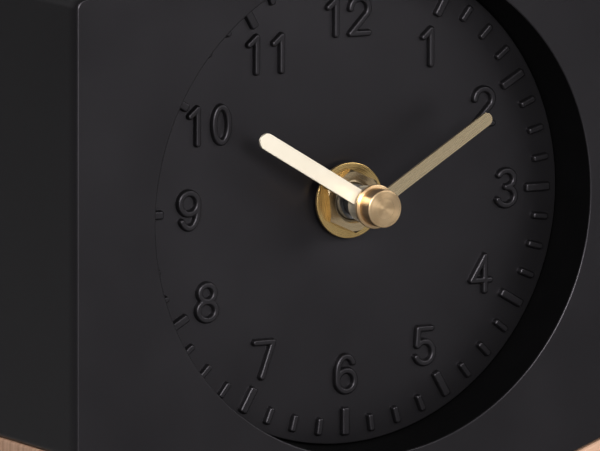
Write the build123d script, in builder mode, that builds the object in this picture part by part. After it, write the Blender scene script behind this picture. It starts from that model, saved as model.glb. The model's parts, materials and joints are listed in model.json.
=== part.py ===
from build123d import *
import os
from math import cos, hypot, pi, radians, sin

# A quartz desk clock: a satin black six-sided case with a deep round dial recess, standing in a
# wooden base whose top is cut to the same shallow vee. Millimetres, +Z up, the face looks along -Y.
# The origin is on the table, under the middle of the clock.

# Case
case_width = 114.6
case_side_height = 76.4
case_apex_rise = 21.2
case_depth = 42.0
upper_corner_radius = 2.2
lower_corner_radius = 1.3
apex_radius = 4.0
case_edge_radius = 1.2
rim_radius = 42.1
recess_depth = 10.5
recess_draft = 0.35
rim_edge_radius = 0.5
recess_wall = 4.0
pocket_clearance = 3.0
pocket_corner_radius = 1.5

# Wooden base, its pads and its screws
base_under_apex = 9.2
base_edge_radius = 0.5
pad_radius = 6.0
pad_thickness = 2.0
pad_proud = 1.0
pad_edge_inset = 11.0
screw_spacing = 48.0
screw_shank_radius = 2.0
screw_head_radius = 4.0
screw_head_height = 2.6
screw_head_clearance = 0.5
screw_head_inset = 5.4
screw_grip = 10.0
screw_cross_length = 4.4
screw_cross_width = 0.9
screw_cross_depth = 1.4

# Dial
dial_gap = 0.25
dial_thickness = 2.0
dial_edge_radius = 0.2
dial_boss_radius = 5.9
dial_boss_height = 1.2
relief_height = 0.9
tick_edge_margin = 1.5
hour_tick_length = 4.8
hour_tick_width = 1.45
short_tick_length = 3.0
short_tick_width = 1.1
tick_corner_radius = 0.4
ticks_per_hour = 4
numeral_gap = 4.6
digit_height = 7.0
digit_width = 4.5
digit_stroke = 1.05
digit_pitch = 4.8

# Movement case and its fixing through the dial
movement_corner_radius = 4.0
movement_wall = 1.5
gasket_thickness = 1.0
gasket_radius = 9.0
stem_rise = 0.3
bushing_radius = 3.05
bushing_front = 3.6
bushing_flange_radius = 6.0
bushing_flange_thickness = 0.5
thread_pitch = 0.75
thread_depth = 0.25
bushing_hole_clearance = 0.25
washer_radius = 6.45
washer_thickness = 0.6
nut_flats = 9.5
nut_thickness = 1.5
nut_chamfer = 0.4
nut_hole_chamfer = 0.6
nut_turn = 5.7
nut_clearance = 0.05

# Shafts, bearings and running clearances
running_clearance = 0.06
end_play = 0.3
hour_tube_radius = 2.3
minute_shaft_radius = 1.6
train_arbor_radius = 0.7
pivot_radius = 0.4
pivot_length = 0.9
pivot_end_gap = 0.2
stud_radius = 0.75
wheel_clearance = 0.9

# Gear teeth, as shares of the module and of the tooth pitch
motion_module = 0.5
train_module = 0.3
tooth_addendum = 0.75
tooth_dedendum = 1.1
tooth_root_share = 0.46
tooth_pitch_share = 0.4
tooth_tip_share = 0.2
wheel_thickness = 0.8
pinion_overhang = 0.2

# Motion work, from the minute shaft to the hour tube
cannon_teeth = 10
minute_wheel_teeth = 30
minute_pinion_teeth = 8
hour_wheel_teeth = 32
setting_teeth = 10
minute_wheel_angle = 150.0
setting_angle = 150.0
hour_wheel_depth = 2.3
minute_wheel_depth = 4.2
motion_wheel_thickness = 1.0

# Going train, from the motor to the centre
centre_teeth = 64
third_pinion_teeth = 8
third_teeth = 60
second_pinion_teeth = 8
second_teeth = 50
step_pinion_teeth = 10
step_teeth = 48
rotor_teeth = 8
third_angle = 45.0
second_angle = -15.0
step_angle = 100.0
rotor_angle = 150.0
centre_wheel_depth = 6.2
third_wheel_depth = 8.0
second_wheel_depth = 9.8
step_wheel_depth = 11.4
friction_spring_thickness = 0.5
friction_spring_radius = 2.2
centre_seat_radius = 1.15
centre_seat_overhang = 0.3
centre_pivot_radius = 0.6

# Motor
magnet_radius = 3.0
magnet_thickness = 2.1
magnet_depth = 5.6
magnet_gap = 0.45
stator_depth = 6.5
stator_thickness = 1.0
stator_ring_width = 2.6
stator_leg_width = 3.0
stator_margin = 2.5
low_leg_drop = 4.26
stator_post_radius = 1.2
coil_rise = 2.44
coil_margin = 1.5
coil_length = 16.5
coil_clearance = 1.8
coil_thickness = 1.4
bobbin_flange_lip = 0.5
bobbin_flange_thickness = 0.8
bobbin_wall = 0.7
bobbin_clearance = 0.05

# Electronics and battery
board_margin = 1.1
board_width = 27.4
board_height = 12.5
board_thickness = 1.0
board_gap = 0.1
chip_radius = 3.0
chip_height = 1.1
chip_inset = 5.4
crystal_radius = 1.0
crystal_length = 6.2
crystal_inset = 1.5
battery_radius = 7.1
battery_length = 49.6
battery_gap = 0.15
battery_nub_radius = 2.7
battery_nub_length = 1.0
contact_thickness = 0.5
contact_width = 9.0
contact_length = 11.0
contact_spring_reach = 1.4
contact_spring_thickness = 0.4
divider_thickness = 1.2

# Setting knob
knob_radius = 6.0
knob_thickness = 4.5
knob_gap = 0.3
knob_shaft_radius = 1.5
knob_grips = 20
knob_grip_radius = 0.5
knob_pivot_radius = 0.9

# Hands and cap, measured ahead of the dial's surface
hour_hand_front = 9.2
hour_hand_length = 24.9
hour_hand_width = 2.8
hour_hand_angle = 301.0
hour_collar_radius = 3.1
hour_collar_length = 2.8
minute_hand_front = 10.0
minute_hand_length = 26.7
minute_hand_width = 2.25
minute_hand_angle = 58.6
minute_eye_radius = 3.3
hand_thickness = 0.5
cap_front = 13.6
cap_radius = 3.2
cap_flange_radius = 3.75
cap_flange_thickness = 0.6
cap_edge = 0.25
cap_bore_depth = 1.6
cap_bore_gap = 0.1

# Places worked out from the sizes above
half_width = case_width / 2
half_side = case_side_height / 2
apex_height = half_side + case_apex_rise
dial_height = pad_proud + base_under_apex + apex_height
stem_height = dial_height + stem_rise
base_bottom = pad_proud - dial_height
cap_proud = cap_front - recess_depth
front_y = cap_proud - (case_depth + cap_proud) / 2
dial_y = front_y + recess_depth
case_back = recess_depth - case_depth
middle_y = front_y + case_depth / 2
dial_radius = rim_radius - recess_draft - dial_gap
tick_outer_radius = dial_radius - tick_edge_margin
numeral_ring_radius = tick_outer_radius - hour_tick_length - numeral_gap
washer_front = dial_boss_height + washer_thickness
pocket_floor = -dial_thickness - recess_wall
movement_front = pocket_floor - gasket_thickness
screw_seat = pad_proud + screw_head_inset + screw_head_height
screw_rise = case_apex_rise / half_width * screw_spacing / 2
screw_top = pad_proud + base_under_apex + screw_rise + screw_grip
screw_places = [(side * screw_spacing / 2, middle_y) for side in (-1, 1)]
pad_places = [
    (side * (half_width - pad_edge_inset), middle_y + end * (case_depth / 2 - pad_edge_inset))
    for side in (-1, 1)
    for end in (-1, 1)
]
digit_half_width = (digit_width - digit_stroke) / 2
digit_half_height = (digit_height - digit_stroke) / 2

# How far each hour's figures stand off their ring, to the right and upward
numeral_shifts = {
    1: (0.9, -1.2),
    2: (0.4, -0.8),
    3: (0.8, 0.2),
    4: (0.1, 1.1),
    5: (0.1, 0.7),
    6: (0.1, 1.1),
    7: (-0.5, 0.6),
    8: (-0.3, -0.1),
    9: (0.3, 0.4),
    10: (0.0, -0.8),
    11: (0.1, -0.6),
    12: (0.1, 0.8),
}

# Digits as strokes, in shares of a digit's half width and half height. An oval has a centre and two
# radii, an arc has a start and a sweep in degrees as well, and a line is a row of points.
digit_ovals = {
    "0": [((0, 0), 0.82, 1.0)],
    "6": [((0, -0.4), 1.0, 0.6)],
    "8": [((0, 0.53), 0.82, 0.47), ((0, -0.47), 1.0, 0.53)],
    "9": [((0, 0.4), 1.0, 0.6)],
}
digit_arcs = {
    "2": [((0, 0.42), 1.0, 0.58, 180, -215)],
    "3": [((0, 0.53), 0.9, 0.47, 150, -240), ((0, -0.47), 1.0, 0.53, 90, -250)],
    "5": [((0, -0.38), 1.0, 0.62, 140, -295)],
    "6": [((0, 0), 1.0, 1.0, 40, 140)],
    "9": [((0, 0), 1.0, 1.0, 220, 140)],
}
digit_lines = {
    "1": [((-0.7, 0.58), (0.15, 1), (0.15, -1))],
    "2": [((0.82, 0.09), (-1, -1), (1, -1))],
    "4": [((0.4, -1), (0.4, 1), (-1.1, -0.38), (1, -0.38))],
    "5": [((0.8, 1), (-0.68, 1), (-0.8, 0.05))],
    "6": [((-1, 0), (-1, -0.4))],
    "7": [((-1, 1), (1, 1), (-0.25, -1))],
    "9": [((1, 0), (1, 0.4))],
}


def facing(ahead, centre=(0, 0)):
    """A plane that looks forward, the given distance ahead of the dial's surface."""
    origin = (centre[0], dial_y - ahead, dial_height + centre[1])
    return Plane(origin=origin, x_dir=(1, 0, 0), z_dir=(0, -1, 0))


def on_stem(ahead, centre=(0, 0)):
    """A plane that looks forward, about the stem that carries the hands."""
    return facing(ahead, (centre[0], centre[1] + stem_rise))


def inside(depth, centre=(0, 0)):
    """A plane that looks forward, the given depth behind the movement's front."""
    return on_stem(movement_front - depth, centre)


def pointing(ahead, clock_angle):
    """A plane that looks forward, whose y axis points along a hand at the given clock angle."""
    turn = radians(clock_angle)
    across = (cos(turn), 0, -sin(turn))
    return Plane(origin=(0, dial_y - ahead, stem_height), x_dir=across, z_dir=(0, -1, 0))


def sideways(x, depth, height):
    """A plane that looks along +X, at a depth behind the movement's front and a height above the stem."""
    origin = (x, dial_y - movement_front + depth, stem_height + height)
    return Plane(origin=origin, x_dir=(0, 1, 0), z_dir=(1, 0, 0))


def disc(plane, radius, length):
    """Add a round section that runs forward from the plane."""
    with BuildSketch(plane) as section:
        Circle(radius)
    extrude(section.sketch, amount=length)


def bore(plane, radius, length):
    """Cut a round hole that runs forward from the plane."""
    with BuildSketch(plane) as section:
        Circle(radius)
    extrude(section.sketch, amount=length, mode=Mode.SUBTRACT)


def screw_holes(radius, low, high):
    """Cut the upright holes that the base screws pass through."""
    with BuildSketch(Plane.XY.offset(low)) as section:
        with Locations(*screw_places):
            Circle(radius)
    extrude(section.sketch, amount=high - low, mode=Mode.SUBTRACT)


def digit(figure, place):
    """Draw one digit with round stroke ends about the given place."""

    def at(point):
        return (place[0] + point[0] * digit_half_width, place[1] + point[1] * digit_half_height)

    half_stroke = digit_stroke / 2
    ovals = digit_ovals.get(figure, [])
    for centre, across, along in ovals:
        with Locations(at(centre)):
            Ellipse(across * digit_half_width + half_stroke, along * digit_half_height + half_stroke)
    for centre, across, along in ovals:
        with Locations(at(centre)):
            Ellipse(
                across * digit_half_width - half_stroke,
                along * digit_half_height - half_stroke,
                mode=Mode.SUBTRACT,
            )
    strokes = []
    for centre, across, along, start, sweep_angle in digit_arcs.get(figure, []):
        with BuildLine() as arc:
            EllipticalCenterArc(
                at(centre),
                across * digit_half_width,
                along * digit_half_height,
                start,
                arc_size=sweep_angle,
            )
        strokes.append(arc)
    for points in digit_lines.get(figure, []):
        for first, second in zip(points, points[1:]):
            with BuildLine() as straight:
                Line(at(first), at(second))
            strokes.append(straight)
    for stroke in strokes:
        trace(stroke.line, digit_stroke)
        with Locations(stroke.line @ 0, stroke.line @ 1):
            Circle(half_stroke)


def numeral(figures, place):
    """Draw the digits of an hour side by side about the given place."""
    for order, figure in enumerate(figures):
        shift = digit_pitch * (order - (len(figures) - 1) / 2)
        digit(figure, (place[0] + shift, place[1]))


def next_arbor(centre, distance, angle):
    """The place of an arbor that lies a mesh distance away, in the given direction."""
    turn = radians(angle)
    return (centre[0] + distance * cos(turn), centre[1] + distance * sin(turn))


def mesh_distance(module, teeth, other_teeth):
    """The distance between the arbors of two gears in mesh."""
    return module * (teeth + other_teeth) / 2


def tip_radius(module, teeth):
    """The radius of a gear at the tips of its teeth."""
    return module * (teeth / 2 + tooth_addendum)


def mesh_phase(partner_phase, partner_teeth, teeth, angle):
    """The angle of a tooth of a gear whose gap meets its partner's tooth in the given direction."""
    return angle + 180 + (angle - partner_phase) * partner_teeth / teeth + 180 / teeth


def gear_layer(depth, thickness, centre, module, teeth, phase):
    """Add a toothed wheel whose front lies the given depth behind the movement's front."""
    pitch_radius = module * teeth / 2
    half_pitch = pi / teeth
    flank = (
        (pitch_radius - module * tooth_dedendum, tooth_root_share),
        (pitch_radius, tooth_pitch_share),
        (pitch_radius + module * tooth_addendum, tooth_tip_share),
    )
    points = []
    for tooth in range(teeth):
        middle = radians(phase) + 2 * half_pitch * tooth
        for side, radii in ((-1, flank), (1, flank[::-1])):
            for radius, share in radii:
                angle = middle + side * half_pitch * share
                points.append((radius * cos(angle), radius * sin(angle)))
    with BuildSketch(inside(depth + thickness, centre)) as section:
        with BuildLine():
            Polyline(*points, close=True)
        make_face()
    extrude(section.sketch, amount=thickness)


def pinion_layer(depth, thickness, centre, module, teeth, phase):
    """Add a pinion that overhangs both sides of the wheel it meets."""
    gear_layer(
        depth - pinion_overhang, thickness + 2 * pinion_overhang, centre, module, teeth, phase
    )


def train_arbor(centre):
    """Add an arbor between the movement's walls, with a pivot at each end."""
    front = movement_wall + end_play
    back = movement_body_depth - end_play
    disc(inside(back, centre), train_arbor_radius, back - front)
    disc(inside(back + pivot_length, centre), pivot_radius, back - front + 2 * pivot_length)


def finish(builder, name):
    """Name a finished piece and write it."""
    builder.part.label = name
    export_step(builder.part, f"parts/{name}.step")


os.makedirs("parts", exist_ok=True)

# Arbor places and tooth angles
centre_place = (0, 0)
minute_wheel_place = next_arbor(
    centre_place, mesh_distance(motion_module, cannon_teeth, minute_wheel_teeth), minute_wheel_angle
)
setting_place = next_arbor(
    minute_wheel_place, mesh_distance(motion_module, minute_wheel_teeth, setting_teeth), setting_angle
)
third_place = next_arbor(
    centre_place, mesh_distance(train_module, centre_teeth, third_pinion_teeth), third_angle
)
second_place = next_arbor(
    third_place, mesh_distance(train_module, third_teeth, second_pinion_teeth), second_angle
)
step_place = next_arbor(
    second_place, mesh_distance(train_module, second_teeth, step_pinion_teeth), step_angle
)
rotor_place = next_arbor(
    step_place, mesh_distance(train_module, step_teeth, rotor_teeth), rotor_angle
)
train_places = (third_place, second_place, step_place, rotor_place)
minute_wheel_phase = mesh_phase(0, cannon_teeth, minute_wheel_teeth, minute_wheel_angle)
setting_phase = mesh_phase(minute_wheel_phase, minute_wheel_teeth, setting_teeth, setting_angle)
minute_pinion_phase = mesh_phase(0, hour_wheel_teeth, minute_pinion_teeth, minute_wheel_angle)
third_pinion_phase = mesh_phase(0, centre_teeth, third_pinion_teeth, third_angle)
second_pinion_phase = mesh_phase(0, third_teeth, second_pinion_teeth, second_angle)
step_pinion_phase = mesh_phase(0, second_teeth, step_pinion_teeth, step_angle)
rotor_phase = mesh_phase(0, step_teeth, rotor_teeth, rotor_angle)

# The movement's size, from the wheels, the coil and the battery that it holds
battery_room = battery_length + battery_nub_length + contact_spring_reach + 2 * contact_thickness
battery_height_room = 2 * (battery_radius + battery_gap)
second_reach = second_place[0] + tip_radius(train_module, second_teeth)
inner_half = max(battery_room / 2, second_reach + wheel_clearance)
core_radius = hypot(stator_leg_width, stator_thickness) / 2 + bobbin_wall
flange_radius = core_radius + coil_thickness + bobbin_flange_lip
coil_axis_height = rotor_place[1] + coil_rise
inner_top = coil_axis_height + flange_radius + coil_clearance
divider_top = -tip_radius(train_module, centre_teeth) - wheel_clearance
divider_height = divider_top - divider_thickness / 2
battery_height = divider_top - divider_thickness - battery_height_room / 2
inner_bottom = battery_height - battery_height_room / 2
inner_height = inner_top - inner_bottom
movement_width = 2 * (inner_half + movement_wall)
movement_height = inner_height + 2 * movement_wall
movement_middle = (0, (inner_top + inner_bottom) / 2)
train_depth = step_wheel_depth + wheel_thickness + pinion_overhang + wheel_clearance
movement_body_depth = max(battery_height_room, train_depth)
movement_depth = movement_body_depth + movement_wall

# Case: a six-sided block with the dial recess in front and the movement pocket behind
with BuildPart() as case_body:
    with BuildSketch(facing(case_back)):
        with BuildLine():
            FilletPolyline(
                (-half_width, -half_side),
                (0, -apex_height),
                (half_width, -half_side),
                (half_width, half_side),
                (0, apex_height),
                (-half_width, half_side),
                radius=[
                    lower_corner_radius,
                    apex_radius,
                    lower_corner_radius,
                    upper_corner_radius,
                    apex_radius,
                    upper_corner_radius,
                ],
                close=True,
            )
        make_face()
    extrude(amount=case_depth)
    with BuildSketch(facing(-dial_thickness)):
        Circle(rim_radius - recess_draft)
    with BuildSketch(facing(recess_depth)):
        Circle(rim_radius)
    loft(mode=Mode.SUBTRACT)
    with BuildSketch(on_stem(case_back, movement_middle)):
        RectangleRounded(
            movement_width + 2 * pocket_clearance,
            movement_height + 2 * pocket_clearance,
            pocket_corner_radius,
        )
    extrude(amount=pocket_floor - case_back, mode=Mode.SUBTRACT)
    bore(on_stem(pocket_floor), bushing_radius + bushing_hole_clearance, recess_wall)
    fillet(faces().sort_by(Axis.Y)[0].inner_wires()[0].edges(), rim_edge_radius)
    fillet(faces().sort_by(Axis.Y)[0].outer_wire().edges(), case_edge_radius)
    fillet(faces().sort_by(Axis.Y)[-1].outer_wire().edges(), case_edge_radius)
    screw_holes(screw_shank_radius, pad_proud, screw_top)
finish(case_body, "case_body")

# Wooden base: a block as wide and as deep as the case, with a vee that the case sits down into
with BuildPart() as wooden_base:
    with BuildSketch(facing(case_back)):
        with BuildLine():
            FilletPolyline(
                (-half_width, -half_side),
                (0, -apex_height),
                (half_width, -half_side),
                (half_width, base_bottom),
                (-half_width, base_bottom),
                radius=[
                    base_edge_radius,
                    apex_radius,
                    base_edge_radius,
                    base_edge_radius,
                    base_edge_radius,
                ],
                close=True,
            )
        make_face()
    extrude(amount=case_depth)
    fillet(faces().sort_by(Axis.Y)[0].edges(), base_edge_radius)
    fillet(faces().sort_by(Axis.Y)[-1].edges(), base_edge_radius)
    screw_holes(screw_shank_radius, pad_proud, screw_top)
    screw_holes(screw_head_radius + screw_head_clearance, pad_proud, screw_seat)
    with BuildSketch(Plane.XY.offset(pad_proud)):
        with Locations(*pad_places):
            Circle(pad_radius)
    extrude(amount=pad_thickness - pad_proud, mode=Mode.SUBTRACT)
finish(wooden_base, "wooden_base")

# Rubber pads let into the base's underside
with BuildPart() as foot_pads:
    with BuildSketch(Plane.XY):
        with Locations(*pad_places):
            Circle(pad_radius)
    extrude(amount=pad_thickness)
finish(foot_pads, "foot_pads")

# Screws that hold the case down on the base, driven from below
with BuildPart() as base_screws:
    with BuildSketch(Plane.XY.offset(screw_seat - screw_head_height)):
        with Locations(*screw_places):
            Circle(screw_head_radius)
    extrude(amount=screw_head_height)
    with BuildSketch(Plane.XY.offset(screw_seat)):
        with Locations(*screw_places):
            Circle(screw_shank_radius)
    extrude(amount=screw_top - screw_seat)
    with BuildSketch(Plane.XY.offset(screw_seat - screw_head_height)):
        with Locations(*screw_places):
            Rectangle(screw_cross_length, screw_cross_width)
            Rectangle(screw_cross_width, screw_cross_length)
    extrude(amount=screw_cross_depth, mode=Mode.SUBTRACT)
finish(base_screws, "base_screws")

# Dial: a disc with raised bars, raised figures and a boss under the washer
with BuildPart() as dial_plate:
    disc(facing(-dial_thickness), dial_radius, dial_thickness)
    fillet(faces().sort_by(Axis.Y)[0].edges(), dial_edge_radius)
    disc(on_stem(0), dial_boss_radius, dial_boss_height)
    bore(
        on_stem(-dial_thickness),
        bushing_radius + bushing_hole_clearance,
        dial_thickness + dial_boss_height,
    )
    with BuildSketch(facing(0)):
        for tick in range(12 * ticks_per_hour):
            is_hour = tick % ticks_per_hour == 0
            length = hour_tick_length if is_hour else short_tick_length
            width = hour_tick_width if is_hour else short_tick_width
            angle = 360 / (12 * ticks_per_hour) * tick
            with PolarLocations(tick_outer_radius - length / 2, 1, start_angle=angle):
                RectangleRounded(length, width, tick_corner_radius)
        for hour in range(1, 13):
            turn = radians(30 * hour)
            right, up = numeral_shifts[hour]
            place = (numeral_ring_radius * sin(turn) + right, numeral_ring_radius * cos(turn) + up)
            numeral(str(hour), place)
    extrude(amount=relief_height)
finish(dial_plate, "dial_plate")

# Movement case: an open box with a wall between the wheels and the battery
stator_left = stator_margin - inner_half
stator_low_leg = rotor_place[1] - low_leg_drop
stator_arm_middle = (coil_axis_height + stator_low_leg) / 2
stator_hole_radius = magnet_radius + magnet_gap
with BuildPart() as movement_housing:
    with BuildSketch(inside(movement_body_depth, movement_middle)):
        RectangleRounded(movement_width, movement_height, movement_corner_radius)
    extrude(amount=movement_body_depth)
    with BuildSketch(inside(movement_body_depth, movement_middle)):
        RectangleRounded(2 * inner_half, inner_height, movement_corner_radius - movement_wall)
    extrude(amount=movement_body_depth - movement_wall, mode=Mode.SUBTRACT)
    with BuildSketch(inside(movement_body_depth, (0, divider_height))):
        Rectangle(2 * inner_half, divider_thickness)
    extrude(amount=movement_body_depth - movement_wall)
    stud_end = minute_wheel_depth + motion_wheel_thickness + end_play
    disc(inside(stud_end, minute_wheel_place), stud_radius, stud_end - movement_wall)
    stator_posts = (
        (stator_left + stator_leg_width / 2, stator_arm_middle),
        (rotor_place[0], rotor_place[1] + stator_hole_radius + stator_ring_width / 2),
    )
    for post in stator_posts:
        disc(inside(stator_depth, post), stator_post_radius, stator_depth - movement_wall)
    bore(inside(movement_wall), bushing_radius, movement_wall)
    pivot_hole_depth = pivot_length - end_play + pivot_end_gap
    for place in train_places:
        bore(inside(movement_wall, place), pivot_radius + running_clearance, pivot_hole_depth)
    bore(inside(movement_wall, setting_place), knob_pivot_radius + running_clearance, pivot_hole_depth)
finish(movement_housing, "movement_housing")

# Movement back plate, open over the battery
with BuildPart() as movement_cover:
    with BuildSketch(inside(movement_depth, movement_middle)):
        RectangleRounded(movement_width, movement_height, movement_corner_radius)
    extrude(amount=movement_wall)
    with BuildSketch(inside(movement_depth, (0, battery_height))):
        Rectangle(2 * (inner_half - contact_thickness), battery_height_room)
    extrude(amount=movement_wall, mode=Mode.SUBTRACT)
    for place in train_places:
        bore(inside(movement_depth, place), pivot_radius + running_clearance, movement_wall)
    bore(inside(movement_depth), centre_pivot_radius + running_clearance, movement_wall)
    bore(inside(movement_depth, setting_place), knob_shaft_radius + running_clearance, movement_wall)
finish(movement_cover, "movement_cover")

# Threaded bushing that passes through the case wall and the dial
bushing_back = movement_front - movement_wall
thread_turns = int((bushing_front - movement_front) / thread_pitch)
with BuildPart() as threaded_bushing:
    with BuildSketch(Plane(origin=(0, dial_y, stem_height), x_dir=(1, 0, 0), z_dir=(0, 0, -1))):
        with BuildLine():
            bore_radius = hour_tube_radius + running_clearance
            profile = [
                (bore_radius, bushing_front),
                (bore_radius, bushing_back - bushing_flange_thickness),
                (bushing_flange_radius, bushing_back - bushing_flange_thickness),
                (bushing_flange_radius, bushing_back),
                (bushing_radius, bushing_back),
            ]
            for turn in range(thread_turns):
                root = bushing_front - (thread_turns - turn - 0.5) * thread_pitch
                profile.append((bushing_radius, root - thread_pitch / 2))
                profile.append((bushing_radius - thread_depth, root))
            profile.append((bushing_radius - thread_depth / 2, bushing_front))
            Polyline(*profile, close=True)
        make_face()
    revolve(axis=Axis((0, dial_y, stem_height), (0, 1, 0)))
finish(threaded_bushing, "threaded_bushing")

# Rubber gasket between the movement and the case wall
with BuildPart() as rubber_gasket:
    disc(on_stem(movement_front), gasket_radius, gasket_thickness)
    bore(on_stem(movement_front), bushing_radius + bushing_hole_clearance, gasket_thickness)
finish(rubber_gasket, "rubber_gasket")

# Brass washer on the dial's boss
with BuildPart() as brass_washer:
    disc(on_stem(dial_boss_height), washer_radius, washer_thickness)
    bore(on_stem(dial_boss_height), bushing_radius + bushing_hole_clearance, washer_thickness)
finish(brass_washer, "brass_washer")

# Hexagonal nut with turned corners and a chamfered hole
nut_corner_radius = nut_flats / 2 / cos(radians(30))
with BuildPart() as hex_nut:
    disc(on_stem(washer_front), nut_corner_radius, nut_thickness)
    chamfer(faces().sort_by(Axis.Y)[0].edges(), nut_chamfer)
    with BuildSketch(on_stem(washer_front)):
        RegularPolygon(nut_flats / 2, 6, major_radius=False, rotation=30 + nut_turn)
    extrude(amount=nut_thickness, mode=Mode.INTERSECT)
    bore(on_stem(washer_front), bushing_radius + nut_clearance, nut_thickness)
    chamfer(faces().sort_by(Axis.Y)[0].inner_wires()[0].edges(), nut_hole_chamfer)
finish(hex_nut, "hex_nut")

# Minute shaft with the cannon pinion, and behind it the seat of the centre wheel
cannon_front = minute_wheel_depth - pinion_overhang
cannon_back = minute_wheel_depth + motion_wheel_thickness + pinion_overhang
seat_back = centre_wheel_depth + wheel_thickness + centre_seat_overhang
pivot_back = movement_body_depth - end_play + pivot_length
shaft_front = minute_hand_front + cap_bore_depth - cap_bore_gap
with BuildPart() as minute_shaft:
    pinion_layer(
        minute_wheel_depth, motion_wheel_thickness, centre_place, motion_module, cannon_teeth, 0
    )
    disc(inside(cannon_back), minute_shaft_radius, shaft_front - movement_front + cannon_back)
    disc(inside(seat_back), centre_seat_radius, seat_back - cannon_back)
    disc(inside(pivot_back), centre_pivot_radius, pivot_back - seat_back)
finish(minute_shaft, "minute_shaft")

# Friction spring that lets the hands be set while the train stands still
with BuildPart() as friction_spring:
    spring_plane = inside(cannon_back + friction_spring_thickness)
    disc(spring_plane, friction_spring_radius, friction_spring_thickness)
    bore(spring_plane, centre_seat_radius, friction_spring_thickness)
finish(friction_spring, "friction_spring")

# Hour wheel with its tube
tube_back = hour_wheel_depth + motion_wheel_thickness
tube_length = hour_hand_front - movement_front + tube_back
with BuildPart() as hour_wheel:
    gear_layer(
        hour_wheel_depth, motion_wheel_thickness, centre_place, motion_module, hour_wheel_teeth, 0
    )
    disc(inside(tube_back), hour_tube_radius, tube_length)
    bore(inside(tube_back), minute_shaft_radius + running_clearance, tube_length)
finish(hour_wheel, "hour_wheel")

# Minute wheel with its pinion, turning on a stud of the movement case
minute_wheel_front = hour_wheel_depth - pinion_overhang
minute_wheel_back = minute_wheel_depth + motion_wheel_thickness
with BuildPart() as minute_wheel:
    gear_layer(
        minute_wheel_depth,
        motion_wheel_thickness,
        minute_wheel_place,
        motion_module,
        minute_wheel_teeth,
        minute_wheel_phase,
    )
    gear_layer(
        minute_wheel_front,
        minute_wheel_depth - minute_wheel_front,
        minute_wheel_place,
        motion_module,
        minute_pinion_teeth,
        minute_pinion_phase,
    )
    bore(
        inside(minute_wheel_back, minute_wheel_place),
        stud_radius + running_clearance,
        minute_wheel_back - minute_wheel_front,
    )
finish(minute_wheel, "minute_wheel")

# Setting knob, with its shaft and the pinion that turns the minute wheel
knob_front = movement_depth + knob_gap
knob_back = knob_front + knob_thickness
knob_pivot_front = movement_wall + end_play - pivot_length
with BuildPart() as setting_knob:
    with BuildSketch(inside(knob_back, setting_place)):
        Circle(knob_radius)
        with PolarLocations(knob_radius, knob_grips):
            Circle(knob_grip_radius, mode=Mode.SUBTRACT)
    extrude(amount=knob_thickness)
    disc(inside(knob_front, setting_place), knob_shaft_radius, knob_front - cannon_back)
    pinion_layer(
        minute_wheel_depth,
        motion_wheel_thickness,
        setting_place,
        motion_module,
        setting_teeth,
        setting_phase,
    )
    disc(inside(cannon_front, setting_place), knob_pivot_radius, cannon_front - knob_pivot_front)
finish(setting_knob, "setting_knob")

# Centre wheel, free on its seat behind the friction spring
with BuildPart() as centre_wheel:
    gear_layer(centre_wheel_depth, wheel_thickness, centre_place, train_module, centre_teeth, 0)
    bore(
        inside(centre_wheel_depth + wheel_thickness),
        centre_seat_radius + running_clearance,
        wheel_thickness,
    )
finish(centre_wheel, "centre_wheel")

# The train's other wheels: each has a pinion that meets the wheel of the arbor before it
with BuildPart() as third_wheel:
    train_arbor(third_place)
    pinion_layer(
        centre_wheel_depth,
        wheel_thickness,
        third_place,
        train_module,
        third_pinion_teeth,
        third_pinion_phase,
    )
    gear_layer(third_wheel_depth, wheel_thickness, third_place, train_module, third_teeth, 0)
finish(third_wheel, "third_wheel")

with BuildPart() as second_wheel:
    train_arbor(second_place)
    pinion_layer(
        third_wheel_depth,
        wheel_thickness,
        second_place,
        train_module,
        second_pinion_teeth,
        second_pinion_phase,
    )
    gear_layer(second_wheel_depth, wheel_thickness, second_place, train_module, second_teeth, 0)
finish(second_wheel, "second_wheel")

with BuildPart() as step_wheel:
    train_arbor(step_place)
    pinion_layer(
        second_wheel_depth,
        wheel_thickness,
        step_place,
        train_module,
        step_pinion_teeth,
        step_pinion_phase,
    )
    gear_layer(step_wheel_depth, wheel_thickness, step_place, train_module, step_teeth, 0)
finish(step_wheel, "step_wheel")

# Motor: rotor arbor, magnet, stator, bobbin and winding
with BuildPart() as rotor_arbor:
    train_arbor(rotor_place)
    pinion_layer(
        step_wheel_depth, wheel_thickness, rotor_place, train_module, rotor_teeth, rotor_phase
    )
finish(rotor_arbor, "rotor_arbor")

with BuildPart() as rotor_magnet:
    magnet_plane = inside(magnet_depth + magnet_thickness, rotor_place)
    disc(magnet_plane, magnet_radius, magnet_thickness)
    bore(magnet_plane, train_arbor_radius, magnet_thickness)
finish(rotor_magnet, "rotor_magnet")

leg_length = rotor_place[0] - stator_left
leg_middle = stator_left + leg_length / 2
arm_height = coil_axis_height - stator_low_leg + stator_leg_width
with BuildPart() as stator:
    with BuildSketch(inside(stator_depth + stator_thickness)):
        with Locations(rotor_place):
            Circle(stator_hole_radius + stator_ring_width)
        for leg_height in (coil_axis_height, stator_low_leg):
            with Locations((leg_middle, leg_height)):
                Rectangle(leg_length, stator_leg_width)
        with Locations((stator_left + stator_leg_width / 2, stator_arm_middle)):
            Rectangle(stator_leg_width, arm_height)
        with Locations(rotor_place):
            Circle(stator_hole_radius, mode=Mode.SUBTRACT)
    extrude(amount=stator_thickness)
finish(stator, "stator")

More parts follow.
